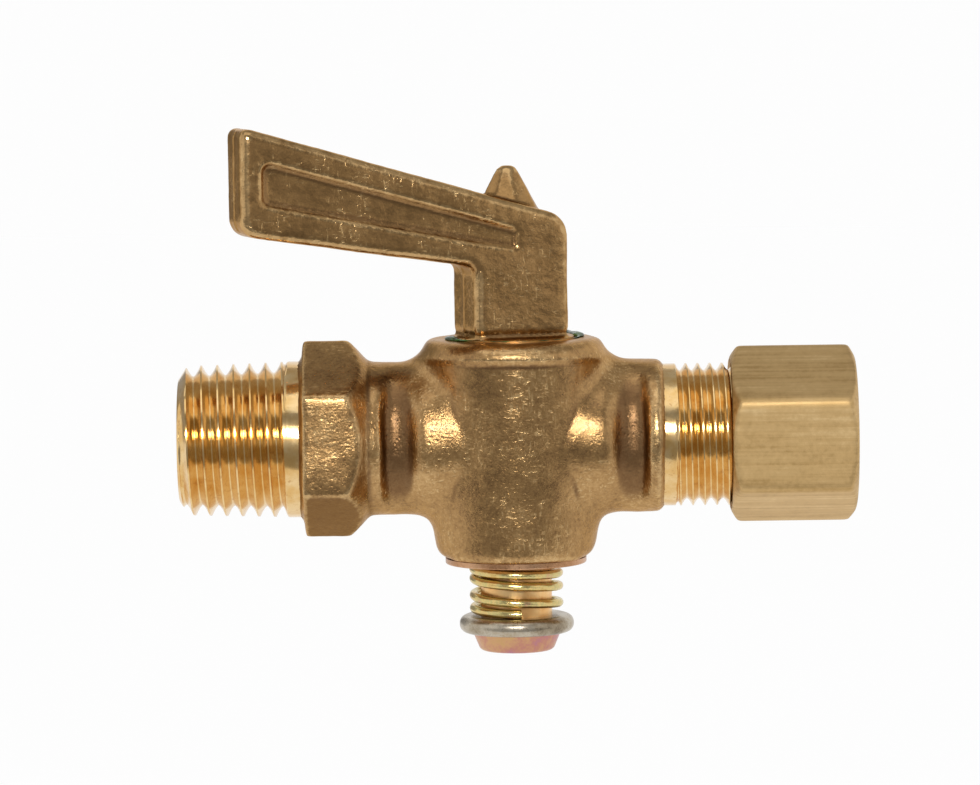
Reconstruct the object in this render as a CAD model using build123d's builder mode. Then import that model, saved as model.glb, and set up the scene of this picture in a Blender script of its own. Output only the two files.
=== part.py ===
# Brass shut-off cock: a ground taper plug with a lever, turning in a forged body.
# The origin is the centre of the male pipe end, X runs along the pipe towards the
# compression nut, and Z runs up along the plug towards the lever. Sizes are in millimetres.

import os
from math import atan, cos, degrees, radians, sin, tan

from build123d import *

# Male pipe end
pipe_pitch = 25.4 / 18
pipe_taper = 1 / 16
pipe_crest_diameter = 13.05
pipe_thread_depth = 0.92
pipe_thread_length = 9.6
pipe_thread_turn = -82.0
pipe_groove_margin = 0.86
pipe_end_chamfer = 0.75
pipe_end_diameter = 10.7
pipe_shoulder_diameter = 13.68
pipe_shoulder_length = 1.3
inlet_bore_diameter = 6.4
inlet_bore_depth = 22.0

# Thread grooves, as shares of half the pitch and of the depth
groove_width = 0.94
groove_floor = 0.04
groove_lift = 0.12

# Hexagon of the body
hex_sides = 6
hex_across_flats = 15.2
hex_length = 3.9
hex_slope_length = 1.9
hex_corner_radius = 0.5

# Necks and the hollowed waist on each side of the barrel
neck_diameter = 13.45
waist_offset = 10.15
waist_width = 2.8
waist_depth = 1.5
waist_rounding = 0.9
waist_fade = 0.12

# Vertical barrel
plug_offset = 29.4
barrel_top = 8.7
barrel_bottom = 10.6
barrel_upper_diameter = 16.7
barrel_lower_diameter = 14.1
barrel_lower_rounding = 0.85
rim_height = 1.8
rim_overhang = 0.2
rim_inset = 1.05
rim_rounding = 0.7
rim_blend = 0.5
saddle_radius = 1.3

# Compression end
outlet_reach = 12.8
collar_diameter = 12.46
collar_length = 1.2
relief_width = 0.35
relief_depth = 0.3
outlet_pitch = 25.4 / 24
outlet_crest_diameter = 12.5
outlet_thread_depth = 0.62
outlet_thread_length = 7.85
outlet_thread_turn = 142.6
outlet_groove_margin = 0.48
outlet_end_chamfer = 0.5
waterway_diameter = 6.0
tube_diameter = 7.94
tube_clearance = 0.06
tube_socket_depth = 4.0
seat_angle = 25
outlet_lip_wall = 0.6

# Compression nut and sleeve
nut_across_flats = 13.75
nut_length = 11.0
nut_gap = 4.9
nut_corner_radius = 0.7
nut_chamfer_angle = 30
nut_turn = 4
nut_face_diameter = 13.4
nut_thread_clearance = 0.13
nut_mouth_bevel = 0.2
nut_end_wall = 1.9
nut_cone_spare = 0.12
nut_step_angle = 60
sleeve_length = 5.0
sleeve_wall = 1.15
sleeve_tip_wall = 0.4
sleeve_clearance = 0.06

# Taper plug and its stem
plug_top_diameter = 10.9
plug_bottom_diameter = 8.7
plug_clearance = 0.04
plug_recess = 0.4
port_diameter = 5.6
stem_diameter = 6.25

# Lever on top of the plug
lever_angle = 17
lever_length = 25.05
lever_tip_top = 27.9
lever_tip_depth = 9.5
lever_top_slope = 16.3
lever_bottom_slope = 8.8
lever_tip_thickness = 5.2
lever_edge_radius = 0.75
lever_flat_limit = 0.95
lever_tip_radius = 0.8
lever_crook_radius = 0.8
lever_toe_radius = 1.6
lever_brow_radius = 2.2
shank_width = 8.6
shank_offset = 0.2
shank_thickness = 7.2
shank_gap = 0.2
shank_heel_radius = 0.8
panel_margin_tip = 1.7
panel_margin_top = 2.4
panel_margin_bottom = 2.8
panel_end_offset = 0.4
panel_end_drop = 2.15
panel_end_height = 2.1
panel_end_roundness = 0.94
panel_corner_radius = 0.8
panel_depth = 0.5
panel_draft = 35
nub_base_diameter = 5.0
nub_tip_diameter = 1.4
nub_height = 3.15
nub_root = 1.0
nub_offset = 0.4
nub_sides = 8
nub_softness = 0.96
nub_tip_rounding = 0.7

# Spring pack under the barrel
washer_diameter = 12.4
washer_thickness = 0.5
washer_edge_radius = 0.15
stem_clearance = 0.15
spring_wire = 0.8
spring_diameter = 8.25
spring_closed_pitch = 0.82
spring_open_pitch = 1.48
spring_open_turns = 1.5
spring_top_turns = 1.08
spring_bottom_turns = 0.77
spring_start_angle = -30
spring_play = 0.06
retainer_diameter = 10.04
retainer_thickness = 1.52
retainer_roundness = 0.92
screw_head_diameter = 7.75
screw_head_base_diameter = 6.4
screw_head_height = 1.6
screw_head_rounding = 0.55
screw_diameter = 4.1
screw_length = 5.5
screw_tip_chamfer = 0.4
screw_hole_spare = 1.2
screw_hole_clearance = 0.03
slot_length = 5.0
slot_width = 1.1
slot_depth = 0.8
slot_angle = 35

# Stations along the pipe axis
shoulder_start = pipe_thread_length
hex_start = shoulder_start + pipe_shoulder_length
slope_start = hex_start + hex_length
neck_start = slope_start + hex_slope_length
neck_end = plug_offset + outlet_reach
collar_end = neck_end + collar_length
outlet_end = collar_end + outlet_thread_length
nut_start = collar_end + nut_gap
nut_end = nut_start + nut_length

# Radii that several pieces share
neck_radius = neck_diameter / 2
pipe_crest_radius = pipe_crest_diameter / 2
pipe_slope = pipe_taper / 2
outlet_crest_radius = outlet_crest_diameter / 2
outlet_root_radius = outlet_crest_radius - outlet_thread_depth
tube_radius = tube_diameter / 2 + tube_clearance
seat_slope = tan(radians(seat_angle))
lip_radius = outlet_root_radius - outlet_lip_wall
sleeve_radius = tube_radius + sleeve_wall
sleeve_tip_radius = tube_radius + sleeve_tip_wall
stem_radius = stem_diameter / 2
washer_hole_radius = stem_radius + stem_clearance

# Levels along the plug axis
washer_bottom = -barrel_bottom - washer_thickness
spring_turns_drop = spring_closed_pitch * (spring_top_turns + spring_bottom_turns)
spring_drop = spring_turns_drop + spring_open_pitch * spring_open_turns
spring_top = washer_bottom - spring_play - spring_wire / 2
retainer_top = spring_top - spring_drop - spring_wire / 2
retainer_bottom = retainer_top - retainer_thickness
head_bottom = retainer_bottom - screw_head_height

plug_axis = Axis((plug_offset, 0, 0), (0, 0, 1))
barrel_plane = Plane(origin=(plug_offset, 0, 0), x_dir=(1, 0, 0), z_dir=(0, -1, 0))
lever_dir = Vector(cos(radians(lever_angle)), sin(radians(lever_angle)), 0)
lever_face_dir = Vector(sin(radians(lever_angle)), -cos(radians(lever_angle)), 0)
lever_plane = Plane(origin=(plug_offset, 0, 0), x_dir=lever_dir, z_dir=lever_face_dir)


def thread_groove(start, length, pitch, crest_radius, slope, depth, turn):
    """V groove of a right-hand thread that winds back along X from start."""
    flank = pitch / 2 * groove_width
    lift = depth * groove_lift
    flat = pitch / 2 * groove_floor
    with BuildPart() as groove:
        with BuildLine() as path:
            Helix(pitch, length, crest_radius, (start, 0, 0), (-1, 0, 0), degrees(atan(slope)))
        foot = path.line @ 0
        outward = Vector(0, foot.Y, foot.Z).normalized()
        across = Vector(1, 0, 0).cross(outward)
        with BuildSketch(Plane(origin=foot, x_dir=(1, 0, 0), z_dir=across)):
            with BuildLine():
                Polyline((-flank, lift), (flank, lift), (flat, -depth), (-flat, -depth), close=True)
            make_face()
        sweep(path=path.line, is_frenet=True)
    return groove.part.rotate(Axis.X, turn)


def waist_ring(centre):
    """Ring that leaves an elliptical section at the waist, full height and narrow in depth."""
    with BuildPart() as ring:
        with BuildSketch(Plane.YZ.offset(centre - waist_width / 2)):
            Circle(neck_diameter)
            Ellipse(neck_radius - waist_depth, neck_radius + waist_fade, mode=Mode.SUBTRACT)
        extrude(amount=waist_width)
        inner = ring.edges().filter_by(GeomType.ELLIPSE)
        fillet(inner, waist_rounding)
    return ring.part


def plug_radius(level):
    """Radius of the ground taper at a level along the plug axis."""
    slope = (plug_top_diameter - plug_bottom_diameter) / 2 / (barrel_top + barrel_bottom)
    return plug_bottom_diameter / 2 + slope * (level + barrel_bottom)


def spring_run(level, angle, turns, pitch):
    """Left-hand run of spring wire that winds down from a level and an angle."""
    coil_radius = (spring_diameter - spring_wire) / 2
    coil = Edge.make_helix(pitch, pitch * turns, coil_radius, (plug_offset, 0, level), (0, 0, -1), 0, True)
    path = coil.rotate(plug_axis, angle)
    foot = path @ 0
    outward = (foot - Vector(plug_offset, 0, level)).normalized()
    with BuildPart() as run:
        with BuildSketch(Plane(origin=foot, x_dir=outward, z_dir=outward.cross(Vector(0, 0, 1)))):
            Circle(spring_wire / 2)
        sweep(path=path, is_frenet=True)
    return run.part


# Hexagon of the body, cut to a cone where it runs out into the neck
hex_half_angle = 180 / hex_sides
hex_corner = hex_across_flats / 2 / cos(radians(hex_half_angle))
with BuildPart() as hex_blank:
    with BuildSketch(Plane.YZ.offset(hex_start)) as hex_outline:
        RegularPolygon(hex_across_flats / 2, hex_sides, major_radius=False, rotation=hex_half_angle)
        fillet(hex_outline.vertices(), hex_corner_radius)
    extrude(amount=hex_length + hex_slope_length)
    with BuildSketch(Plane.XZ):
        with BuildLine():
            Polyline(
                (hex_start, 0),
                (hex_start, hex_corner),
                (slope_start, hex_corner),
                (neck_start, neck_radius),
                (neck_start, 0),
                close=True,
            )
        make_face()
    revolve(axis=Axis.X, mode=Mode.INTERSECT)

# Turned ends of the body, still without their threads
pipe_base_radius = pipe_crest_radius + pipe_slope * pipe_thread_length
with BuildPart() as turned_ends:
    with BuildSketch(Plane.XZ):
        with BuildLine():
            Polyline(
                (0, 0),
                (0, pipe_end_diameter / 2),
                (pipe_end_chamfer, pipe_crest_radius + pipe_slope * pipe_end_chamfer),
                (shoulder_start, pipe_base_radius),
                (shoulder_start, pipe_shoulder_diameter / 2),
                (hex_start, pipe_shoulder_diameter / 2),
                (hex_start, 0),
                close=True,
            )
        make_face()
        with BuildLine():
            Polyline(
                (neck_end, 0),
                (neck_end, collar_diameter / 2),
                (collar_end, collar_diameter / 2),
                (collar_end, outlet_crest_radius),
                (outlet_end - outlet_end_chamfer, outlet_crest_radius),
                (outlet_end, outlet_crest_radius - outlet_end_chamfer),
                (outlet_end, 0),
                close=True,
            )
        make_face()
    revolve(axis=Axis.X)

# Valve body
rim_base_diameter = barrel_upper_diameter + 2 * rim_overhang
rim_top_diameter = rim_base_diameter - 2 * rim_inset
rim_base = barrel_top - rim_height
rim_under = rim_base - rim_overhang
barrel_slope = (barrel_upper_diameter - barrel_lower_diameter) / 2 / (rim_base + barrel_bottom)
rim_flare = rim_inset / rim_height
blend_level = neck_radius + rim_blend
blend_radius = rim_top_diameter / 2 + rim_flare * (barrel_top - blend_level)
shell_top = max(barrel_top, neck_radius + saddle_radius) + rim_rounding
shell_top_radius = barrel_upper_diameter / 2 + barrel_slope * (shell_top - rim_base)
with BuildPart() as valve_body:
    with BuildSketch(Plane.YZ.offset(hex_start)):
        Circle(neck_radius)
    extrude(amount=neck_end - hex_start)
    # Tapered barrel, blended into both necks
    with BuildSketch(barrel_plane):
        with BuildLine():
            Polyline(
                (0, shell_top),
                (shell_top_radius, shell_top),
                (barrel_lower_diameter / 2, -barrel_bottom),
                (0, -barrel_bottom),
                close=True,
            )
        make_face()
    revolve(axis=plug_axis)
    fillet(valve_body.edges(Select.NEW), saddle_radius)
    fillet(valve_body.edges().filter_by(GeomType.CIRCLE).sort_by(Axis.Z)[0], barrel_lower_rounding)
    # Conical rim round the top of the barrel
    with BuildSketch(barrel_plane):
        with BuildLine():
            Polyline(
                (0, shell_top),
                (0, barrel_top),
                (rim_top_diameter / 2, barrel_top),
                (blend_radius, blend_level),
                (outlet_reach, blend_level),
                (outlet_reach, shell_top),
                close=True,
            )
        make_face()
    revolve(axis=plug_axis, mode=Mode.SUBTRACT)
    with BuildSketch(barrel_plane):
        with BuildLine():
            Polyline(
                (0, barrel_top),
                (rim_top_diameter / 2, barrel_top),
                (rim_base_diameter / 2, rim_base),
                (barrel_upper_diameter / 2, rim_under),
                (0, rim_under),
                close=True,
            )
        make_face()
    revolve(axis=plug_axis)
    fillet(valve_body.edges().filter_by(GeomType.CIRCLE).sort_by(Axis.Z)[-1], rim_rounding)
    for side in (-1, 1):
        add(waist_ring(plug_offset + side * waist_offset), mode=Mode.SUBTRACT)
    add(hex_blank.part)
    add(turned_ends.part)
    # Waterway, tube socket and taper bore
    socket_end = outlet_end - (lip_radius - tube_radius) / seat_slope
    socket_start = socket_end - tube_socket_depth
    with BuildSketch(Plane.XZ):
        with BuildLine():
            Polyline(
                (0, 0),
                (0, inlet_bore_diameter / 2),
                (inlet_bore_depth, inlet_bore_diameter / 2),
                (inlet_bore_depth, waterway_diameter / 2),
                (socket_start, waterway_diameter / 2),
                (socket_start, tube_radius),
                (socket_end, tube_radius),
                (outlet_end, lip_radius),
                (outlet_end, 0),
                close=True,
            )
        make_face()
    revolve(axis=Axis.X, mode=Mode.SUBTRACT)
    with BuildSketch(barrel_plane):
        with BuildLine():
            Polyline(
                (0, barrel_top),
                (plug_radius(barrel_top) + plug_clearance, barrel_top),
                (plug_radius(-barrel_bottom) + plug_clearance, -barrel_bottom),
                (0, -barrel_bottom),
                close=True,
            )
        make_face()
    revolve(axis=plug_axis, mode=Mode.SUBTRACT)
    # Taper pipe thread, and the straight thread of the compression end with its relief
    pipe_groove_start = shoulder_start - pipe_groove_margin
    add(
        thread_groove(
            pipe_groove_start,
            pipe_groove_start + pipe_pitch,
            pipe_pitch,
            pipe_crest_radius + pipe_slope * pipe_groove_start,
            -pipe_slope,
            pipe_thread_depth,
            pipe_thread_turn,
        ),
        mode=Mode.SUBTRACT,
    )
    outlet_groove_start = outlet_end + outlet_pitch
    add(
        thread_groove(
            outlet_groove_start,
            outlet_groove_start - collar_end - outlet_groove_margin,
            outlet_pitch,
            outlet_crest_radius,
            0,
            outlet_thread_depth,
            outlet_thread_turn,
        ),
        mode=Mode.SUBTRACT,
    )
    with BuildSketch(Plane.YZ.offset(collar_end)):
        Circle(neck_radius)
        Circle(outlet_crest_radius - relief_depth, mode=Mode.SUBTRACT)
    extrude(amount=relief_width, mode=Mode.SUBTRACT)
valve_body.part.label = "valve_body"

# Compression nut
nut_corner = nut_across_flats / 2 / cos(radians(hex_half_angle))
nut_bevel = (nut_corner - nut_face_diameter / 2) * tan(radians(nut_chamfer_angle))
nut_bore_radius = outlet_crest_radius + nut_thread_clearance
nut_cone_end = nut_end - nut_end_wall
nut_cone_radius = sleeve_radius + nut_cone_spare
nut_cone_start = nut_cone_end - (nut_cone_radius - tube_radius) / seat_slope
nut_step_start = nut_cone_start - (nut_bore_radius - nut_cone_radius) / tan(radians(nut_step_angle))
with BuildPart() as compression_nut:
    with BuildSketch(Plane.YZ.offset(nut_start)) as nut_outline:
        turn = hex_half_angle + nut_turn
        RegularPolygon(nut_across_flats / 2, hex_sides, major_radius=False, rotation=turn)
        fillet(nut_outline.vertices(), nut_corner_radius)
    extrude(amount=nut_length)
    with BuildSketch(Plane.XZ):
        with BuildLine():
            Polyline(
                (nut_start, 0),
                (nut_start, nut_face_diameter / 2),
                (nut_start + nut_bevel, nut_corner),
                (nut_end - nut_bevel, nut_corner),
                (nut_end, nut_face_diameter / 2),
                (nut_end, 0),
                close=True,
            )
        make_face()
    revolve(axis=Axis.X, mode=Mode.INTERSECT)
    with BuildSketch(Plane.XZ):
        with BuildLine():
            Polyline(
                (nut_start, 0),
                (nut_start, nut_bore_radius + nut_mouth_bevel),
                (nut_start + nut_mouth_bevel, nut_bore_radius),
                (nut_step_start, nut_bore_radius),
                (nut_cone_start, nut_cone_radius),
                (nut_cone_end, tube_radius),
                (nut_end, tube_radius),
                (nut_end, 0),
                close=True,
            )
        make_face()
    revolve(axis=Axis.X, mode=Mode.SUBTRACT)
compression_nut.part.label = "compression_nut"

# Compression sleeve, seated in the cone of the nut
sleeve_end = nut_cone_end - (sleeve_tip_wall + sleeve_clearance) / seat_slope
sleeve_start = sleeve_end - sleeve_length
sleeve_cone = (sleeve_wall - sleeve_tip_wall) / seat_slope
with BuildPart() as compression_sleeve:
    with BuildSketch(Plane.XZ):
        with BuildLine():
            Polyline(
                (sleeve_start, tube_radius),
                (sleeve_start, sleeve_tip_radius),
                (sleeve_start + sleeve_cone, sleeve_radius),
                (sleeve_end - sleeve_cone, sleeve_radius),
                (sleeve_end, sleeve_tip_radius),
                (sleeve_end, tube_radius),
                close=True,
            )
        make_face()
    revolve(axis=Axis.X)
compression_sleeve.part.label = "compression_sleeve"

# Plug and lever in one forging: the lever first
shank_back = shank_width / 2 - shank_offset
shank_front = -shank_width / 2 - shank_offset
shank_bottom = barrel_top + shank_gap
tip_bottom = lever_tip_top - lever_tip_depth
top_slope = tan(radians(lever_top_slope))
bottom_slope = tan(radians(lever_bottom_slope))
brow_level = lever_tip_top - top_slope * (lever_length + shank_back)
crook_level = tip_bottom - bottom_slope * (lever_length + shank_front)
face_run = lever_length + shank_front
face_lean = atan((shank_thickness - lever_tip_thickness) / 2 / face_run)

# Pointed nub over the plug axis: an eight-sided pyramid with softened corners
crown_level = lever_tip_top - top_slope * (lever_length - nub_offset)
nub_lean = (nub_base_diameter - nub_tip_diameter) / 2 / nub_height
nub_root_radius = nub_base_diameter / 2 + nub_lean * nub_root
nub_foot = lever_plane.from_local_coords((-nub_offset, crown_level - nub_root, 0))
nub_plane = Plane(origin=nub_foot, x_dir=lever_dir, z_dir=(0, 0, 1))
nub_side_plane = Plane(origin=nub_foot, x_dir=lever_dir, z_dir=lever_face_dir)
with BuildPart() as nub:
    with BuildSketch(nub_plane):
        RegularPolygon(nub_root_radius, nub_sides)
    with BuildSketch(nub_plane.offset(nub_root + nub_height)):
        RegularPolygon(nub_tip_diameter / 2, nub_sides)
    loft()
    with BuildSketch(nub_side_plane) as nub_profile:
        with BuildLine():
            Polyline(
                (0, 0),
                (nub_root_radius * nub_softness, 0),
                (nub_tip_diameter / 2 * nub_softness, nub_root + nub_height),
                (0, nub_root + nub_height),
                close=True,
            )
        make_face()
        shoulder = nub_profile.vertices().group_by(Axis.Y)[-1].sort_by(Axis.X)[-1]
        fillet(shoulder, nub_tip_rounding)
    revolve(axis=Axis(nub_foot, (0, 0, 1)), mode=Mode.INTERSECT)

with BuildPart() as plug_key:
    with BuildSketch(lever_plane):
        with BuildLine():
            FilletPolyline(
                (-lever_length, tip_bottom),
                (-lever_length, lever_tip_top),
                (shank_back, brow_level),
                (shank_back, shank_bottom),
                (shank_front, shank_bottom),
                (shank_front, crook_level),
                radius=(
                    lever_toe_radius,
                    lever_tip_radius,
                    lever_brow_radius,
                    shank_heel_radius,
                    shank_heel_radius,
                    lever_crook_radius,
                ),
                close=True,
            )
        make_face()
    extrude(amount=shank_thickness / 2, both=True)
    # The faces of the lever draw in towards its tip
    with BuildSketch(Plane(origin=(plug_offset, 0, 0), x_dir=lever_dir, z_dir=(0, 0, 1))):
        with BuildLine():
            Polyline(
                (-lever_length, lever_tip_thickness / 2),
                (shank_front, shank_thickness / 2),
                (shank_back, shank_thickness / 2),
                (shank_back, -shank_thickness / 2),
                (shank_front, -shank_thickness / 2),
                (-lever_length, -lever_tip_thickness / 2),
                close=True,
            )
        make_face()
    extrude(amount=lever_tip_top, mode=Mode.INTERSECT)
    faces = plug_key.faces()
    flats = faces.filter_by(lambda face: abs(face.normal_at().dot(lever_face_dir)) > lever_flat_limit)
    bounds = flats.edges()
    outline = bounds.filter_by(lambda edge: sum(edge.is_same(other) for other in bounds) == 1)
    fillet(outline, lever_edge_radius)
    # Recessed panel on both faces
    panel_start = -lever_length + panel_margin_tip
    panel_top = lever_tip_top - top_slope * panel_margin_tip - panel_margin_top
    panel_foot = tip_bottom - bottom_slope * panel_margin_tip + panel_margin_bottom
    panel_nose = lever_tip_top - top_slope * (lever_length - panel_end_offset) - panel_end_drop
    for side in (-1, 1):
        face_foot = lever_plane.from_local_coords((shank_front, 0, side * shank_thickness / 2))
        face_normal = lever_face_dir * (side * cos(face_lean)) - lever_dir * sin(face_lean)
        face_along = Vector(0, 0, 1).cross(face_normal)
        wide_end = side * (panel_start - shank_front)
        narrow_end = side * (-shank_front - panel_end_offset)
        with BuildSketch(Plane(origin=face_foot, x_dir=face_along, z_dir=face_normal)) as panel:
            with BuildLine():
                Polyline(
                    (wide_end, panel_foot),
                    (wide_end, panel_top),
                    (narrow_end, panel_nose),
                    (narrow_end, panel_nose - panel_end_height),
                    close=True,
                )
            make_face()
            by_end = panel.vertices().group_by(Axis.X)
            wide_corners, narrow_corners = by_end if side > 0 else reversed(by_end)
            fillet(wide_corners, panel_corner_radius)
            fillet(narrow_corners, panel_end_height / 2 * panel_end_roundness)
        extrude(amount=-panel_depth, taper=panel_draft, mode=Mode.SUBTRACT)
    add(nub.part)
    # Ground taper and stem
    plug_end = -barrel_bottom + plug_recess
    with BuildSketch(barrel_plane):
        with BuildLine():
            Polyline(
                (0, shank_bottom),
                (plug_radius(shank_bottom), shank_bottom),
                (plug_radius(plug_end), plug_end),
                (stem_radius, plug_end),
                (stem_radius, retainer_top),
                (0, retainer_top),
                close=True,
            )
        make_face()
    revolve(axis=plug_axis)
    # Port across the plug, in line with the lever, and the tapped hole of the stem
    with BuildSketch(Plane(origin=(plug_offset, 0, 0), x_dir=(0, 0, 1), z_dir=lever_dir)):
        Circle(port_diameter / 2)
    extrude(amount=plug_top_diameter, both=True, mode=Mode.SUBTRACT)
    screw_tip = retainer_bottom + screw_length
    with BuildSketch(Plane(origin=(plug_offset, 0, retainer_top))):
        Circle(screw_diameter / 2 + screw_hole_clearance)
    extrude(amount=screw_tip + screw_hole_spare - retainer_top, mode=Mode.SUBTRACT)
plug_key.part.label = "plug_key"

# Thin washer under the barrel
with BuildPart() as body_washer:
    with BuildSketch(Plane(origin=(plug_offset, 0, washer_bottom))):
        Circle(washer_diameter / 2)
        Circle(washer_hole_radius, mode=Mode.SUBTRACT)
    extrude(amount=washer_thickness)
    fillet(body_washer.edges().group_by(Axis.Z)[0].sort_by(SortBy.RADIUS)[-1], washer_edge_radius)
body_washer.part.label = "body_washer"

# Spring: a closed run, an open run and a closed run
with BuildPart() as plug_spring:
    run_level = spring_top
    run_angle = spring_start_angle
    spring_runs = (
        (spring_top_turns, spring_closed_pitch),
        (spring_open_turns, spring_open_pitch),
        (spring_bottom_turns, spring_closed_pitch),
    )
    for turns, pitch in spring_runs:
        add(spring_run(run_level, run_angle, turns, pitch))
        run_level -= turns * pitch
        run_angle += turns * 360
plug_spring.part.label = "plug_spring"

# Retainer washer with a rounded rim
with BuildPart() as spring_retainer:
    with BuildSketch(Plane(origin=(plug_offset, 0, retainer_bottom))):
        Circle(retainer_diameter / 2)
        Circle(screw_diameter / 2 + stem_clearance, mode=Mode.SUBTRACT)
    extrude(amount=retainer_thickness)
    rim_edges = spring_retainer.edges().filter_by(GeomType.CIRCLE).group_by(SortBy.RADIUS)[-1]
    fillet(rim_edges, retainer_thickness * retainer_roundness / 2)
spring_retainer.part.label = "spring_retainer"

# Retaining screw with a low slotted head
with BuildPart() as retaining_screw:
    with BuildSketch(barrel_plane):
        with BuildLine():
            Polyline(
                (0, screw_tip),
                (screw_diameter / 2 - screw_tip_chamfer, screw_tip),
                (screw_diameter / 2, screw_tip - screw_tip_chamfer),
                (screw_diameter / 2, retainer_bottom),
                (screw_head_diameter / 2, retainer_bottom),
                (screw_head_base_diameter / 2, head_bottom),
                (0, head_bottom),
                close=True,
            )
        make_face()
    revolve(axis=plug_axis)
    fillet(retaining_screw.edges().sort_by(Axis.Z)[0], screw_head_rounding)
    with BuildSketch(Plane(origin=(plug_offset, 0, head_bottom))):
        Rectangle(slot_length, slot_width, rotation=slot_angle)
    extrude(amount=slot_depth, mode=Mode.SUBTRACT)
retaining_screw.part.label = "retaining_screw"

os.makedirs("parts", exist_ok=True)
pieces = (
    valve_body,
    plug_key,
    body_washer,
    plug_spring,
    spring_retainer,
    retaining_screw,
    compression_sleeve,
    compression_nut,
)
for piece in pieces:
    export_step(piece.part, f"parts/{piece.part.label}.step")
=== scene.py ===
import math

import bmesh
import bpy
import numpy as np
from mathutils import Matrix, Quaternion, Vector, noise


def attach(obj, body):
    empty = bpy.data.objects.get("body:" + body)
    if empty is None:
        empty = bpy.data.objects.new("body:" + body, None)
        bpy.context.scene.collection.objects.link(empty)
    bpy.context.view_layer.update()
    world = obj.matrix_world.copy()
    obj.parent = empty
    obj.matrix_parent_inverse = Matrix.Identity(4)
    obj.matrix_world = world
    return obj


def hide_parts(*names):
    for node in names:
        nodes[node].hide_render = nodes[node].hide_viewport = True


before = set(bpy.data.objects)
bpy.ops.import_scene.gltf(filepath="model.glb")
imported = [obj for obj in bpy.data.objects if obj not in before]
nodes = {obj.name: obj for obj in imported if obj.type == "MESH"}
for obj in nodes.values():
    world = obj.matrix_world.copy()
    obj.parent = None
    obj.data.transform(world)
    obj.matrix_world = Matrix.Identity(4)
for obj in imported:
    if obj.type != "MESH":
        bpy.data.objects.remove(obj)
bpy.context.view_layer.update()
scene = bpy.context.scene
mm = 0.001  # sizes below are in millimetres, the scene is in metres
print("frame loaded:", ", ".join(sorted(nodes)))


class Flow:  # a value, colour or vector on its way through a material
    def __init__(self, tree, socket=None):
        self.tree = tree
        self.socket = socket

    def make(self, kind, settings=None, sockets=None, output=0):
        node = self.tree.nodes.new("ShaderNode" + kind)
        for key, value in (settings or {}).items():
            if key == "stops":
                ramp = node.color_ramp.elements
                while len(ramp) < len(value):
                    ramp.new(1)
                for stop, (position, colour) in zip(ramp, value):
                    stop.position = position
                    stop.color = colour
            else:
                setattr(node, key, value)
        for key, value in (sockets or {}).items():
            if isinstance(value, Flow):
                self.tree.links.new(value.socket, node.inputs[key])
            else:
                node.inputs[key].default_value = value
        return Flow(self.tree, node.outputs[output] if node.outputs else None)

    def maths(self, operation, first, second):
        return self.make("Math", {"operation": operation}, {0: first, 1: second})

    def __add__(self, other):
        return self.maths("ADD", self, other)

    def __sub__(self, other):
        return self.maths("SUBTRACT", self, other)

    def __rsub__(self, other):
        return self.maths("SUBTRACT", other, self)

    def __mul__(self, other):
        return self.maths("MULTIPLY", self, other)

    __radd__ = __add__
    __rmul__ = __mul__


def startFinish(name):
    material = bpy.data.materials.new(name)
    material.use_nodes = True
    material.node_tree.nodes.clear()
    return material, Flow(material.node_tree).make("TexCoord", output="Object")


def endFinish(place, sockets):
    shader = place.make("BsdfPrincipled", None, sockets)
    place.make("OutputMaterial", None, {"Surface": shader})


def hue(red, green, blue):  # a colour as seen on the screen, 0 to 255
    channels = []
    for part in (red, green, blue):
        share = part / 255
        channels.append(share / 12.92 if share <= 0.04045 else ((share + 0.055) / 1.055) ** 2.4)
    return (*channels, 1)


def grain(place, perMm, detail=2, rough=0.5, stretch=(1, 1, 1)):
    spot = place.make("Mapping", None, {"Vector": place, "Scale": stretch})
    sockets = {"Vector": spot, "Scale": perMm / mm, "Detail": detail, "Roughness": rough}
    return spot.make("TexNoise", None, sockets, "Fac")


def specks(place, perMm):
    return place.make("TexVoronoi", None, {"Vector": place, "Scale": perMm / mm}, "Distance")


def band(value, low, high, first=0, last=1):
    sockets = {0: value, 1: low, 2: high, 3: first, 4: last}
    return value.make("MapRange", {"interpolation_type": "SMOOTHSTEP"}, sockets)


def tint(mask, first, second):
    return mask.make("Mix", {"data_type": "RGBA"}, {0: mask, 6: first, 7: second}, 2)


def dent(height, depthMm, strength=1):
    sockets = {"Height": height, "Distance": depthMm * mm, "Strength": strength}
    return height.make("Bump", None, sockets)


def painted(place, name):  # a mask kept on the mesh
    return place.make("Attribute", {"attribute_name": name}, None, "Fac")


# mesh work: arrays in millimetres

weldGap = 0.0005  # points nearer than this become one
sharpAngle = 34  # degrees between two faces that makes their edge sharp


def linked(name, mesh):
    thing = bpy.data.objects.new(name, mesh)
    scene.collection.objects.link(thing)
    return thing


def skinOf(name, node, voxelMm):  # a closed, evenly meshed copy of a solid
    mesh = nodes[node].data.copy()
    mesh.transform(Matrix.Scale(1 / mm, 4))
    work = bmesh.new()
    work.from_mesh(mesh)
    bmesh.ops.remove_doubles(work, verts=work.verts, dist=weldGap)
    work.to_mesh(mesh)
    work.free()
    thing = linked(name, mesh)
    remesh = thing.modifiers.new("skin", "REMESH")
    remesh.mode = "VOXEL"
    remesh.voxel_size = voxelMm
    graph = bpy.context.evaluated_depsgraph_get()
    skin = bpy.data.meshes.new_from_object(thing.evaluated_get(graph))
    thing.modifiers.clear()
    thing.data = skin
    skin.materials.clear()
    return thing


def pointsOf(mesh):
    flat = np.zeros(len(mesh.vertices) * 3)
    mesh.vertices.foreach_get("co", flat)
    return flat.reshape(-1, 3)


def normalsOf(mesh):
    flat = np.zeros(len(mesh.vertices) * 3)
    mesh.vertex_normals.foreach_get("vector", flat)
    return flat.reshape(-1, 3)


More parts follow.
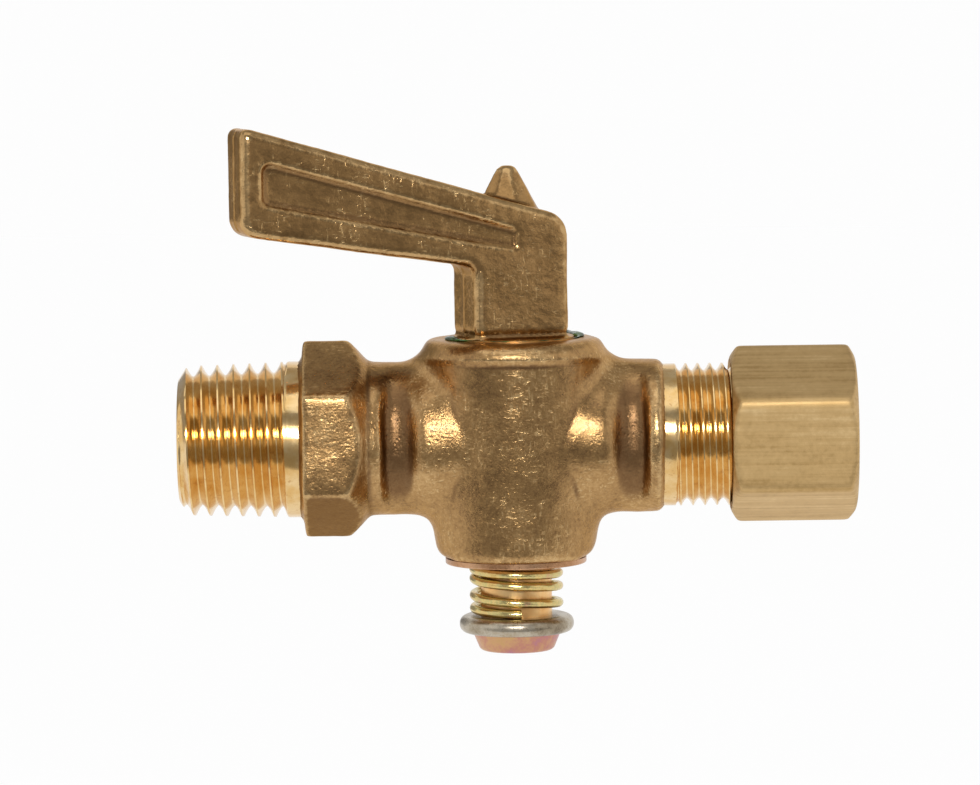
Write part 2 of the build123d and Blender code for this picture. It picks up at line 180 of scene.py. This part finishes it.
def edgesOf(mesh):
    flat = np.zeros(len(mesh.edges) * 2, dtype=np.int32)
    mesh.edges.foreach_get("vertices", flat)
    return flat.reshape(-1, 2)


def averaged(values, edges):  # mean over each point's neighbours
    count = len(values)
    near = np.bincount(edges.ravel(), minlength=count).astype(float)
    total = np.zeros_like(values)
    for column in range(values.shape[1]):
        part = values[:, column]
        total[:, column] = np.bincount(edges[:, 0], part[edges[:, 1]], count)
        total[:, column] += np.bincount(edges[:, 1], part[edges[:, 0]], count)
    return total / np.maximum(near, 1)[:, None]


def relaxed(points, edges, rounds, share=0.5):
    for _ in range(rounds):
        points = points + share * (averaged(points, edges) - points)
    return points


def bending(points, normals, edges, rounds):  # above 0 on an edge, below 0 in a hollow
    span = np.linalg.norm(points[edges[:, 0]] - points[edges[:, 1]], axis=1).mean()
    lift = ((points - averaged(points, edges)) * normals).sum(1)[:, None] / span**2 * 4
    for _ in range(rounds):
        lift = 0.5 * lift + 0.5 * averaged(lift, edges)
    return lift[:, 0]


def ease(values, low, high):
    share = np.clip((values - low) / (high - low), 0, 1)
    return share * share * (3 - 2 * share)


def roughField(points, perMm, seed):  # smooth noise at each point, about -1 to 1
    shift = Vector((seed * 3.7, seed * 1.9, seed * 5.3))
    return np.array([noise.noise(Vector(p) * perMm + shift) for p in points])


def setPoints(mesh, points):
    mesh.vertices.foreach_set("co", points.astype(np.float32).ravel())
    mesh.update()


def paint(mesh, name, values):
    mask = mesh.attributes.new(name, "FLOAT", "POINT")
    mask.data.foreach_set("value", values.astype(np.float32))


def keepOnly(mesh, keep):  # drops the points that the mask leaves out
    work = bmesh.new()
    work.from_mesh(mesh)
    work.verts.ensure_lookup_table()
    lost = [work.verts[i] for i in np.nonzero(~keep)[0]]
    bmesh.ops.delete(work, geom=lost, context="VERTS")
    work.to_mesh(mesh)
    work.free()


def cutAcross(work, spot, facing, clear=False):
    everything = work.verts[:] + work.edges[:] + work.faces[:]
    bmesh.ops.bisect_plane(
        work, geom=everything, dist=1e-7, plane_co=Vector(spot) * mm, plane_no=facing, clear_outer=clear
    )


def shedFaces(work, unwanted):  # drops the faces whose middle the test picks out
    lost = [face for face in work.faces if unwanted(face.calc_center_median() / mm)]
    bmesh.ops.delete(work, geom=lost, context="FACES")


def cutCopy(name, node, cuts):  # part of a solid's own surface, cut by planes
    mesh = nodes[node].data.copy()
    mesh.materials.clear()
    work = bmesh.new()
    work.from_mesh(mesh)
    bmesh.ops.remove_doubles(work, verts=work.verts, dist=weldGap * mm)
    for spot, facing in cuts:
        cutAcross(work, spot, facing, clear=True)
    for face in work.faces:
        face.smooth = True
    work.to_mesh(mesh)
    work.free()
    if "custom_normal" in mesh.attributes:
        mesh.attributes.remove(mesh.attributes["custom_normal"])
    mesh.set_sharp_from_angle(angle=math.radians(sharpAngle))
    return linked(name, mesh)


# forged brass: tumbled, mottled, tarnished in the hollows and rubbed bright on the edges

forging = {
    "deep": hue(134, 101, 64),
    "middle": hue(174, 136, 87),
    "pale": hue(203, 166, 114),
    "rubbed": hue(226, 192, 138),
    # colour of tarnish in the hollows, and of painted shade on the body
    "tarnishAndShade": hue(104, 74, 50),
    "edgeTint": hue(236, 212, 182),
    "roughness": 0.29,
    "grainDepth": 0.048,
    "mottle": 2.0,
    "dings": 0.35,
    "coat": 0.2,
}


def forgedFinish(name, look):
    material, place = startFinish(name)
    cloud = grain(place, 0.22, 3, 0.6)
    mottle = grain(place, look["mottle"], 4, 0.65)
    fleck = grain(place, look["mottle"] * 2.6, 2, 0.6)
    tone = cloud * 0.4 + mottle * 0.35 + fleck * 0.25
    colour = tint(band(tone, 0.34, 0.54), look["deep"], look["middle"])
    colour = tint(band(tone, 0.5, 0.68), colour, look["pale"])
    wear = painted(place, "wear")
    hollow = painted(place, "hollow")
    rub = band(wear + (mottle - 0.5) * 1.6 + (cloud - 0.5) * 0.8, 0.5, 1.1)
    # stain: tarnish in the hollows and, on the body, painted shade from the hollow mask
    stain = band(hollow + (cloud - 0.5) * 0.6, 0.2, 0.9)
    colour = tint(stain * 0.8, colour, look["tarnishAndShade"])
    colour = tint(rub * 0.4, colour, look["rubbed"])
    pits = band(specks(place, 1.6), 0.0, 0.14, 1, 0) * band(grain(place, 0.5), 0.5, 0.62)
    nicks = band(grain(place, 4, 2, 0.5, (0.3, 1, 1)), 0.6, 0.7)
    hair = band(grain(place, 5, 2, 0.5, (1, 1, 0.22)), 0.6, 0.7)
    scratch = (nicks + hair) * band(cloud, 0.44, 0.56) * (1 - stain)
    colour = tint(pits * 0.35, colour, look["deep"])
    colour = tint(scratch * 0.5, colour, look["rubbed"])
    rough = (look["roughness"] + (cloud - 0.5) * 0.2 + stain * 0.06) - rub * 0.05
    dings = band(specks(place, 2.1), 0.05, 0.4, 1, 0) * band(grain(place, 0.35), 0.42, 0.56)
    height = mottle * 0.5 + fleck * 0.5 - pits * 0.3 - scratch * 0.3 - dings * look["dings"]
    endFinish(place, {
        "Base Color": colour,
        "Metallic": 1,
        "Specular Tint": look["edgeTint"],
        "Roughness": rough,
        "Normal": dent(height, look["grainDepth"], 1),
        "Coat Weight": look["coat"] - stain * (look["coat"] * 0.8),
        "Coat Roughness": 0.22,
    })
    return material


# the body: its forged middle, and the turned ends with their threads

bodyForging = {
    "voxel": 0.22,
    "smoothing": 7,
    "hexFace": 10.9,
    "neckEnd": 42.2,
    "shoulderRadius": 6.84,
    "collarRadius": 6.23,
    "neckRadius": 6.725,
    "waists": (19.25, 39.55),
    "waistReach": 1.7,
    "axis": 29.4,
    "saddle": (5.2, 6.2, 9.6, 10.6),  # fades in, full, fades out, to each side of the barrel
    "saddleTop": (7, 6),
    "saddleRounds": 60,
    "waistFade": 0.8,
    "waistRounds": 14,
    "rim": (5.8, 6.4, 8.4, 8.9),
    "rimReach": (6.6, 7),
    "rimRounds": 2,
    "lip": [  # level, and how far the lip stands out there
        (6.55, 0), (6.68, -0.05), (6.8, -0.1), (6.95, 0.02), (7.15, 0.22),
        (7.4, 0.5), (7.8, 0.68), (8.1, 0.7), (8.4, 0.54), (8.6, 0.28), (8.75, 0),
    ],
    "lipReach": (6.5, 7),
    # level, width and reach of the painted shade line under the lip
    "creaseShade": 6.72,
    "creaseShadeWidth": 0.24,
    "creaseShadeReach": (7.4, 7.9),
    "wave": 0.08,
    "ripple": 0.014,
    "sink": 0.16,  # how far the skin dips under the turned ends
    "overlap": 0.12,
}


def nearWaist(points, waist, fade):
    reach = bodyForging["waistReach"]
    return ease(np.abs(points[:, 0] - waist), reach + max(fade, 0), reach + min(fade, 0))


def softened(points, edges, fromAxis):  # blends the saddles and waists, then swells the lip
    spec = bodyForging
    aside = np.abs(points[:, 0] - spec["axis"])
    fadeIn, near, far, fadeOut = spec["saddle"]
    soft = ease(aside, fadeIn, near) * ease(aside, fadeOut, far) * ease(points[:, 2], *spec["saddleTop"])
    points = relaxed(points, edges, spec["saddleRounds"], 0.5 * soft[:, None])
    for waist in spec["waists"]:
        soft = nearWaist(points, waist, spec["waistFade"])
        points = relaxed(points, edges, spec["waistRounds"], 0.5 * soft[:, None])
    levels, reach = zip(*spec["lip"])
    swell = np.interp(points[:, 2], levels, reach) * ease(fromAxis, *spec["lipReach"])
    swell = swell * (points[:, 1] / fromAxis) ** 2 / fromAxis
    points[:, 0] += (points[:, 0] - spec["axis"]) * swell
    points[:, 1] += points[:, 1] * swell
    fadeIn, low, high, fadeOut = spec["rim"]
    soft = ease(points[:, 2], fadeIn, low) * ease(points[:, 2], fadeOut, high)
    soft = soft * ease(fromAxis, *spec["rimReach"])
    return relaxed(points, edges, spec["rimRounds"], 0.5 * soft[:, None])


def bodyTarnishAndShade(points, normals, bend, around, fromAxis):  # tarnish kept in the hollows, plus painted shade in the lip crease and on downward faces
    spec = bodyForging
    hollow = ease(-bend, 0.12, 0.9) * 0.7
    deep = ease(around, spec["neckRadius"] - 0.1, spec["neckRadius"] - 0.9)
    for waist in spec["waists"]:
        hollow = hollow * (1 - 0.6 * nearWaist(points, waist, spec["waistFade"]))
        hollow = np.maximum(hollow, nearWaist(points, waist, -0.6) * deep * 0.75)
    # painted shade: a dark line in the crease under the lip, on the front and back only
    creaseShade = np.exp(-(((points[:, 2] - spec["creaseShade"]) / spec["creaseShadeWidth"]) ** 2))
    creaseShade = creaseShade * ease(fromAxis, *spec["creaseShadeReach"]) * (points[:, 1] / fromAxis) ** 2
    # painted shade: downward faces beside the hex are darkened
    under = ease(-normals[:, 2], 0.35, 0.85) * ease(points[:, 0], spec["hexFace"] + 9, spec["hexFace"] + 4)
    return np.maximum(np.maximum(hollow, creaseShade * 0.85), under * 0.8)


def forgeBody():
    spec = bodyForging
    body = skinOf("bodyForging", "valve_body", spec["voxel"])
    mesh = body.data
    edges = edgesOf(mesh)
    points = relaxed(pointsOf(mesh), edges, spec["smoothing"])
    around = np.hypot(points[:, 1], points[:, 2])
    fromAxis = np.hypot(points[:, 0] - spec["axis"], points[:, 1])
    points = softened(points, edges, fromAxis)
    setPoints(mesh, points)
    normals = normalsOf(mesh)
    bend = bending(points, normals, edges, 3)
    hollow = bodyTarnishAndShade(points, normals, bend, around, fromAxis)
    wave = roughField(points, 0.33, 1) * spec["wave"] + roughField(points, 1.3, 2) * spec["ripple"]
    points = points + normals * wave[:, None]
    before, after = spec["hexFace"] - points[:, 0], points[:, 0] - spec["neckEnd"]
    for beyond, radius in ((before, spec["shoulderRadius"]), (after, spec["collarRadius"])):
        drop = spec["sink"] * ease(around, radius + 0.2, radius + 0.03) * ease(beyond, -0.05, 0.1)
        points[:, 1:] *= (1 - drop / np.maximum(around, 1))[:, None]
    setPoints(mesh, points)
    paint(mesh, "wear", ease(bend, 0.25, 1.5))
    # the hollow mask holds tarnish and painted shade
    paint(mesh, "hollow", hollow)
    turnedIn = (before > -spec["overlap"]) & (around < spec["shoulderRadius"] - 0.5)
    turnedOut = (after > -spec["overlap"]) & (around < spec["collarRadius"] - 0.5)
    keepOnly(mesh, ~(turnedIn | turnedOut | (before > 0.5) | (after > 0.5)))
    mesh.transform(Matrix.Scale(mm, 4))
    mesh.shade_smooth()
    mesh.materials.append(forgedFinish("forgedBrass", forging))
    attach(body, "valve_body")
    return body


turning = {
    "bright": hue(232, 200, 146),
    "warm": hue(220, 178, 112),
    "stain": hue(188, 140, 84),
    "roughness": 0.09,
}


def turnedFinish(name, look):
    material, place = startFinish(name)
    cloud = grain(place, 0.5, 3, 0.6)
    lines = grain(place, 9, 2, 0.5, (1, 0.02, 0.02))
    spots = grain(place, 2.2, 4, 0.65)
    colour = tint(band(cloud, 0.35, 0.65), look["bright"], look["warm"])
    colour = tint(band(spots, 0.56, 0.72) * 0.6, colour, look["stain"])
    endFinish(place, {
        "Base Color": colour,
        "Metallic": 1,
        "Roughness": look["roughness"] + spots * 0.1 + lines * 0.06,
        "Normal": dent(lines * 0.6 + spots * 0.4, 0.004, 0.5),
    })
    return material


turnedPieces = {
    "pipe": {
        "cut": ((bodyForging["hexFace"] - 0.02, 0, 0), (1, 0, 0)),
        "start": 0.0,
        "end": 9.6,
        "pitch": 25.4 / 18,
        "phase": -0.3272,
        "radius": 6.525,
        "slope": 1 / 32,
        "depth": 0.92,
        "tip": (5.35, 0.75),
        "leadIn": 0.01,
        "runOut": 0.5,
    },
    "tube": {
        "cut": ((bodyForging["neckEnd"] + 0.02, 0, 0), (-1, 0, 0)),
        "start": 43.4,
        "end": 50.75,
        "pitch": 25.4 / 24,
        "phase": 0.2791,
        "radius": 6.25,
        "slope": 0.0,
        "depth": 0.62,
        "tip": (6.235, 0.4),
        "leadIn": 0.35,
        "runOut": 0.1,
    },
}
threadProfile = {  # across one turn, from root to root
    "crest": 0.1,
    "root": 0.04,
    "scoop": 1.45,
    "steps": 8,
    "columns": 160,
    "hollow": 5.0,  # faces nearer the axis belong to the bore
    "inset": 0.01,
}


def turnedEnd(name, spec):  # the solid's own faces, without its thread
    end = cutCopy(name + "End", "valve_body", [spec["cut"]])
    work = bmesh.new()
    work.from_mesh(end.data)
    first, last = spec["start"] + threadProfile["inset"], spec["end"] - threadProfile["inset"]
    for station in (first, last):
        cutAcross(work, (station, 0, 0), (1, 0, 0))
    shedFaces(work, lambda spot: first < spot.x < last and spot.yz.length > threadProfile["hollow"])
    work.to_mesh(end.data)
    work.free()
    return end


def cutThread(name, spec):  # a helical grid, so that every crest is a clean line
    half = 0.5 - threadProfile["crest"] / 2
    rise = np.linspace(threadProfile["root"] / 2, half, threadProfile["steps"])
    lines = np.concatenate((rise, 1 - rise[::-1]))
    climb = np.linspace(0, 1, len(rise)) ** threadProfile["scoop"]
    height = np.concatenate((climb, climb[::-1]))
    turns = np.arange(
        math.floor(spec["start"] / spec["pitch"]) - 2, math.ceil(spec["end"] / spec["pitch"]) + 2
    )
    rows = (turns[:, None] + lines[None, :]).ravel()
    columns = threadProfile["columns"]
    angle = np.arange(columns) * math.tau / columns
    along = spec["pitch"] * (rows[:, None] + spec["phase"] + angle[None, :] / math.tau)
    along = np.clip(along, spec["start"], spec["end"])
    crest = spec["radius"] + spec["slope"] * along
    depth = spec["depth"] * ease(along, spec["end"], spec["end"] - spec["runOut"])
    depth = depth * ease(along, spec["start"], spec["start"] + spec["leadIn"])
    radius = crest - depth * (1 - np.tile(height, len(turns)))[:, None]
    tipRadius, tipLength = spec["tip"]
    radius = np.minimum(radius, tipRadius + (crest - tipRadius) * (along - spec["start"]) / tipLength)
    radius = np.maximum(radius, tipRadius - spec["depth"])
    points = np.stack((along, radius * np.cos(angle), radius * np.sin(angle)), axis=-1).reshape(-1, 3)
    faces = []
    for row in range(len(rows) - len(lines) - 1):
        for column in range(columns):
            here = row * columns + column
            last = column == columns - 1
            beside = (row + len(lines)) * columns if last else here + 1
            corners = (here, beside, beside + columns, here + columns)
            if np.ptp(points[list(corners), 0]) > 1e-6:
                faces.append(corners)
    mesh = bpy.data.meshes.new(name + "Thread")
    mesh.from_pydata((points * mm).tolist(), [], faces)
    work = bmesh.new()
    work.from_mesh(mesh)
    bmesh.ops.remove_doubles(work, verts=work.verts, dist=weldGap * mm)
    loose = [point for point in work.verts if not point.link_faces]
    bmesh.ops.delete(work, geom=loose, context="VERTS")
    work.to_mesh(mesh)
    work.free()
    mesh.shade_smooth()
    mesh.set_sharp_from_angle(angle=math.radians(sharpAngle))
    return linked(name + "Thread", mesh)


def turnedEnds(finish):
    for name, spec in turnedPieces.items():
        for piece in (turnedEnd(name, spec), cutThread(name, spec)):
            piece.data.materials.append(finish)
            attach(piece, "valve_body")


body = forgeBody()
turned = turnedFinish("turnedBrass", turning)
turnedEnds(turned)
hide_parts("valve_body")
print("body forged:", len(body.data.polygons), "faces")

# the lever and the top of its plug, and the ground plug and stem below

leverLook = dict(
    forging,
    deep=hue(140, 107, 66),
    middle=hue(164, 127, 80),
    pale=hue(186, 149, 99),
    roughness=0.24,
    grainDepth=0.034,
    mottle=1.1,
    dings=0.1,
    coat=0.1,
)
leverForging = {
    "voxel": 0.17,
    "smoothing": 6,
    "foot": 8.8,
    "angle": 17,
    "axis": bodyForging["axis"],
    "seam": 0.11,
    "seamWidth": 0.22,
    "wave": 0.04,
    "ripple": 0.016,
}


def forgeLever():
    spec = leverForging
    lever = skinOf("leverForging", "plug_key", spec["voxel"])
    mesh = lever.data
    keepOnly(mesh, pointsOf(mesh)[:, 2] > spec["foot"] - 1)
    edges = edgesOf(mesh)
    points = relaxed(pointsOf(mesh), edges, spec["smoothing"])
    setPoints(mesh, points)
    normals = normalsOf(mesh)
    bend = bending(points, normals, edges, 3)
    turn = math.radians(spec["angle"])
    along = np.array((math.cos(turn), math.sin(turn), 0))
    across = np.array((-math.sin(turn), math.cos(turn), 0))
    aside = (points - np.array((spec["axis"], 0, 0))) @ across
    endFace = ease(-(normals @ along), 0.6, 0.9)
    seam = np.exp(-((aside / spec["seamWidth"]) ** 2)) * endFace * spec["seam"]
    wave = roughField(points, 0.35, 4) * spec["wave"] + roughField(points, 1.5, 5) * spec["ripple"]
    setPoints(mesh, points + normals * (wave + seam)[:, None])
    paint(mesh, "wear", ease(bend, 0.2, 1.2))
    paint(mesh, "hollow", ease(-bend, 0.12, 0.9) * 0.6)
    keepOnly(mesh, points[:, 2] > spec["foot"])
    mesh.transform(Matrix.Scale(mm, 4))
    mesh.shade_smooth()
    mesh.materials.append(forgedFinish("leverBrass", leverLook))
    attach(lever, "plug")
    return lever


stemLook = {
    "bright": hue(246, 206, 146),
    "warm": hue(236, 182, 116),
    "stain": hue(206, 142, 80),
    "roughness": 0.24,
}
lever = forgeLever()
stem = cutCopy("plugStem", "plug_key", [((0, 0, leverForging["foot"] + 0.02), (0, 0, 1))])
stem.data.materials.append(turnedFinish("stemBrass", stemLook))
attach(stem, "plug")
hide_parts("plug_key")

# green grease pressed out round the top of the plug

greaseSmear = {
    "radius": 5.75,
    "level": 8.8,
    "width": 0.9,
    "height": 0.24,
    "lumps": (12, 40, 128, 200),  # degrees round the plug
    "lumpSpread": 0.3,
    "thinnest": 0.05,
    "around": 160,
    "across": 10,
    "colour": hue(74, 112, 44),
    "dirt": hue(46, 58, 28),
}


def smearGrease():
    spec = greaseSmear
    around, across = spec["around"], spec["across"]
    points, faces = [], []
    for step in range(around):
        turn = math.tau * step / around
        out = Vector((math.cos(turn), math.sin(turn), 0))
        swell = 0.3 * noise.noise(out * 2.1) + 0.3 * noise.noise(out * 6.3)
        for lump in spec["lumps"]:
            away = math.remainder(turn - math.radians(lump), math.tau)
            swell += 1.1 * math.exp(-((away / spec["lumpSpread"]) ** 2))
        swell = max(swell, spec["thinnest"])
        for part in range(across):
            lean = math.tau * part / across
            reach = spec["radius"] + spec["width"] * swell * math.cos(lean) / 2
            rise = spec["level"] + spec["height"] * swell * math.sin(lean)
            points.append(out * reach + Vector((leverForging["axis"], 0, rise)))
            after = (part + 1) % across
            ring, following = step * across, (step + 1) % around * across
            faces.append((ring + part, following + part, following + after, ring + after))
    mesh = bpy.data.meshes.new("greaseSmear")
    mesh.from_pydata([point * mm for point in points], [], faces)
    mesh.shade_smooth()
    material, place = startFinish("greenGrease")
    lumps = grain(place, 1.4, 3, 0.6)
    endFinish(place, {
        "Base Color": tint(band(lumps, 0.4, 0.62), spec["dirt"], spec["colour"]),
        "Roughness": 0.25,
        "Normal": dent(lumps, 0.08, 0.8),
    })
    mesh.materials.append(material)
    grease = linked("greaseSmear", mesh)
    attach(grease, "plug")


smearGrease()
print("lever forged:", len(lever.data.polygons), "faces")

# the drawn hexagon nut, with fine lines along the bar

nutLook = {
    "deep": hue(182, 149, 97),
    "middle": hue(206, 173, 120),
    "pale": hue(224, 194, 143),
    "roughness": 0.5,
    "voxel": 0.16,
    "smoothing": 8,
    "end": 59.3,
    "boreRadius": 6.38,
    "holeRadius": 4.03,
}


def drawnFinish(name, look):
    material, place = startFinish(name)
    lines = grain(place, 3.2, 3, 0.6, (0.03, 1, 1))
    hair = grain(place, 11, 2, 0.5, (0.02, 1, 1))
    cloud = grain(place, 0.3, 3, 0.6)
    spots = grain(place, 2.4, 4, 0.7)
    bars = grain(place, 0.8, 2, 0.6, (0.03, 1, 1))
    tone = lines * 0.3 + bars * 0.3 + cloud * 0.2 + spots * 0.2
    colour = tint(band(tone, 0.36, 0.54), look["deep"], look["middle"])
    colour = tint(band(tone, 0.52, 0.68), colour, look["pale"])
    endFinish(place, {
        "Base Color": colour,
        "Metallic": 1,
        "Roughness": look["roughness"] + (spots - 0.5) * 0.2 + (hair - 0.5) * 0.12,
        "Normal": dent(lines * 0.5 + hair * 0.3 + spots * 0.3, 0.014, 0.6),
    })
    return material


def drawNut(finish):  # soft edges outside, the turned bore inside
    spec = nutLook
    nut = skinOf("drawnNut", "compression_nut", spec["voxel"])
    mesh = nut.data
    points = pointsOf(mesh)
    around = np.hypot(points[:, 1], points[:, 2])
    share = 0.5 * ease(around, spec["boreRadius"] + 0.1, spec["boreRadius"] + 0.3)[:, None]
    points = relaxed(points, edgesOf(mesh), spec["smoothing"], share)
    setPoints(mesh, points)
    endFace = points[:, 0] > spec["end"] - 0.3
    outer = around > np.where(endFace, spec["holeRadius"] - 0.02, spec["boreRadius"] + 0.12)
    keepOnly(mesh, outer)
    mesh.transform(Matrix.Scale(mm, 4))
    mesh.shade_smooth()
    bore = cutCopy("nutBore", "compression_nut", [])
    work = bmesh.new()
    work.from_mesh(bore.data)
    outside, endFace = spec["boreRadius"] + 0.2, spec["end"] - 0.01
    shedFaces(work, lambda spot: spot.yz.length > outside or spot.x > endFace)
    work.to_mesh(bore.data)
    work.free()
    for piece in (nut, bore):
        piece.data.materials.append(finish)
        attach(piece, "nut")
    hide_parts("compression_nut")
    return nut


nut = drawNut(drawnFinish("drawnBrass", nutLook))
print("nut drawn:", len(nut.data.polygons), "faces")

# the small plated pieces: a thin film that shifts from yellow to green and pink

plateLook = {
    "stops": [
        (0.30, hue(190, 156, 92)),
        (0.45, hue(222, 194, 128)),
        (0.55, hue(198, 186, 126)),
        (0.66, hue(214, 166, 130)),
        (0.80, hue(200, 164, 104)),
    ],
    "roughness": 0.22,
}
retainerLook = {
    "stops": [
        (0.30, hue(112, 98, 80)),
        (0.45, hue(160, 146, 124)),
        (0.56, hue(190, 180, 162)),
        (0.68, hue(160, 140, 108)),
        (0.80, hue(130, 118, 104)),
    ],
    "roughness": 0.3,
}
screwLook = {
    "stops": [
        (0.30, hue(196, 160, 104)),
        (0.42, hue(204, 160, 116)),
        (0.52, hue(194, 136, 118)),
        (0.62, hue(184, 126, 140)),
        (0.80, hue(190, 164, 100)),
    ],
    "roughness": 0.34,
}
washerLook = {
    "stops": [
        (0.30, hue(150, 108, 76)),
        (0.45, hue(186, 140, 102)),
        (0.56, hue(204, 160, 124)),
        (0.68, hue(176, 140, 92)),
        (0.80, hue(150, 112, 84)),
    ],
    "roughness": 0.3,
}


def platedFinish(name, look, perMm=0.35):
    material, place = startFinish(name)
    film = grain(place, perMm, 4, 0.62)
    spots = grain(place, 4, 4, 0.7)
    share = film * 0.75 + spots * 0.25
    colour = place.make("ValToRGB", {"stops": look["stops"]}, {"Fac": share}, "Color")
    endFinish(place, {
        "Base Color": colour,
        "Metallic": 1,
        "Roughness": look["roughness"] + (spots - 0.5) * 0.25,
        "Normal": dent(spots, 0.012, 0.6),
    })
    return material


finishes = {
    "compression_sleeve": turned,
    "body_washer": platedFinish("washerPlate", washerLook),
    "plug_spring": platedFinish("springPlate", plateLook, 0.5),
    "retaining_screw": platedFinish("screwPlate", screwLook, 0.3),
    "spring_retainer": platedFinish("retainerPlate", retainerLook),
}
for node, finish in finishes.items():
    for index in range(len(nodes[node].data.materials)):
        nodes[node].data.materials[index] = finish
print("small pieces finished:", len(finishes))

# studio: white paper all round, dark and grey cards in front, soft lamps

studio = {
    "floor": -0.09,  # metres here
    "wallRadius": 1.8,
    "wallHeight": 1.6,
    "paper": hue(250, 250, 250),
    "cards": [  # middle, width and height, lean and turn in degrees, glow
        ((0.03, -0.62, -0.088), (1.4, 1.0), 90, 0, 0.30),
        ((0.03, -1.12, 0.05), (1.4, 0.30), 0, 0, 0.42),
        ((0.03, -1.13, 0.70), (1.8, 1.00), 0, 0, 0.25),
        ((0.03, 0.55, 0.95), (1.8, 0.8), 90, 0, 0.42),
        ((-0.62, 0.85, 0.2), (0.8, 0.7), 0, 36, 0.35),
    ],
    "lamps": {
        "overhead": {"at": (-0.05, -0.3, 0.8), "size": (0.9, 0.6), "glow": 0.75},
        "strip": {"at": (0.0, -1.08, 0.31), "size": (0.4, 0.13), "glow": 30.0},
    },
}


def paperFinish():
    material, place = startFinish("paper")
    rays = [place.make("LightPath", None, None, kind) for kind in (
        "Is Camera Ray", "Is Glossy Ray", "Is Transmission Ray")]
    seen = band(rays[0] + rays[1] + rays[2], 0, 1)
    plain = place.make("BsdfDiffuse", None, {"Color": studio["paper"]})
    white = place.make("Emission", None, {"Color": (1, 1, 1, 1), "Strength": 1})
    paper = place.make("MixShader", None, {0: seen * 0.97, 1: plain, 2: white})
    place.make("OutputMaterial", None, {"Surface": paper})
    return material


def paperRoom():
    work = bmesh.new()
    bmesh.ops.create_circle(work, cap_ends=True, segments=96, radius=studio["wallRadius"])
    rim = [edge for edge in work.edges if edge.is_boundary]
    raised = bmesh.ops.extrude_edge_only(work, edges=rim)["geom"]
    for corner in raised:
        if isinstance(corner, bmesh.types.BMVert):
            corner.co.z += studio["wallHeight"]
    bmesh.ops.translate(work, verts=work.verts, vec=(0, 0, studio["floor"]))
    mesh = bpy.data.meshes.new("paperRoom")
    work.to_mesh(mesh)
    work.free()
    mesh.materials.append(paperFinish())
    return linked("paperRoom", mesh)


def setCards():
    for number, (spot, (wide, high), lean, turn, glow) in enumerate(studio["cards"]):
        material, place = startFinish(f"cardShade{number}")
        shade = place.make("Emission", None, {"Color": (1, 1, 1, 1), "Strength": glow})
        place.make("OutputMaterial", None, {"Surface": shade})
        mesh = bpy.data.meshes.new(f"card{number}")
        left, low = -wide / 2, -high / 2
        corners = [(left, 0, low), (-left, 0, low), (-left, 0, -low), (left, 0, -low)]
        mesh.from_pydata(corners, [], [(0, 1, 2, 3)])
        mesh.materials.append(material)
        card = linked(mesh.name, mesh)
        card.location = spot
        card.rotation_euler = (math.radians(lean), 0, math.radians(turn))
        card.visible_camera = False


def lamps():
    target = Vector((bodyForging["axis"] * mm, 0, 0))
    for name, spec in studio["lamps"].items():
        light = bpy.data.lights.new(name, "AREA")
        light.shape = "RECTANGLE"
        light.size, light.size_y = spec["size"]
        light.energy = spec["glow"] * math.pi * spec["size"][0] * spec["size"][1]
        lamp = linked(name, light)
        lamp.location = spec["at"]
        lamp.rotation_mode = "QUATERNION"
        lamp.rotation_quaternion = (target - lamp.location).to_track_quat("-Z", "Y")


paperRoom()
setCards()
lamps()
world = bpy.data.worlds.new("studioAir")
world.use_nodes = True
world.node_tree.nodes["Background"].inputs["Color"].default_value = (1, 1, 1, 1)
world.node_tree.nodes["Background"].inputs["Strength"].default_value = 0.5
scene.world = world
scene.view_settings.view_transform = "Standard"

# camera: long lens, a little above the pipe

view = {
    "target": (27.3, 0, 3.9),
    "distance": 520,
    "elevation": 5.0,
    "roll": -0.75,
    "pixelsPerMm": 11.4,
    "imageWidth": 980,
    "sensor": 36,
}


def placeCamera():
    data = bpy.data.cameras.new("photoCamera")
    camera = linked("photoCamera", data)
    lift = math.radians(view["elevation"])
    back = Vector((0, -math.cos(lift), math.sin(lift)))
    camera.location = (Vector(view["target"]) + back * view["distance"]) * mm
    camera.rotation_mode = "QUATERNION"
    level = (-back).to_track_quat("-Z", "Y")
    camera.rotation_quaternion = level @ Quaternion((0, 0, 1), math.radians(view["roll"]))
    data.sensor_width = view["sensor"]
    data.lens = view["pixelsPerMm"] * view["distance"] * view["sensor"] / view["imageWidth"]
    data.clip_start, data.clip_end = 0.01, 20
    scene.camera = camera


placeCamera()
print("studio and camera set")
